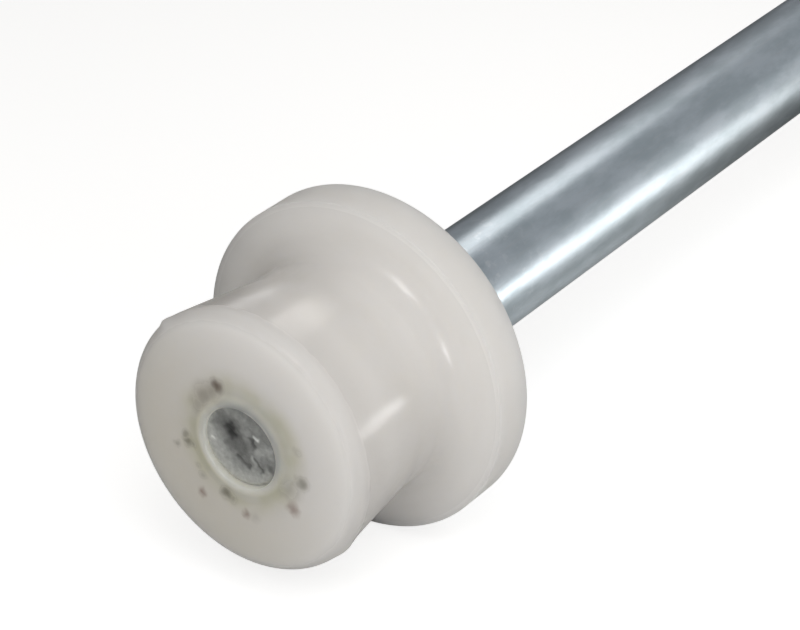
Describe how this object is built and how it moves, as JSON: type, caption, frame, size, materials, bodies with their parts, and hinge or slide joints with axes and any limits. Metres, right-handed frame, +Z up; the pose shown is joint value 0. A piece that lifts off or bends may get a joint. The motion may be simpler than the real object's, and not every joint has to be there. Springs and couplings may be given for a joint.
{
  "type": "door guide pin",
  "caption": "Plain round steel pin with a nylon bobbin moulded onto its end, whose neck and wide flange guide a sliding or folding door along its track.",
  "frame": {"origin": "on the pin's axis, at the back face of the head's flange, where the bare shank starts", "axes": "+X along the pin's axis from the flange to the shank's free end, +Z up; the head lies on the -X side"},
  "size_m": [0.1296, 0.0344, 0.0344],
  "materials": {
    "zinc_plated_steel": "bright zinc plate, smooth, with fine handling marks; raw cropped steel at the front end",
    "natural_nylon": "natural off-white nylon, satin and slightly translucent, stained and soiled around the front hole"
  },
  "bodies": {
    "root": {"steel_shank": "zinc_plated_steel", "nylon_guide_head": "natural_nylon"}
  },
  "joints": []
}
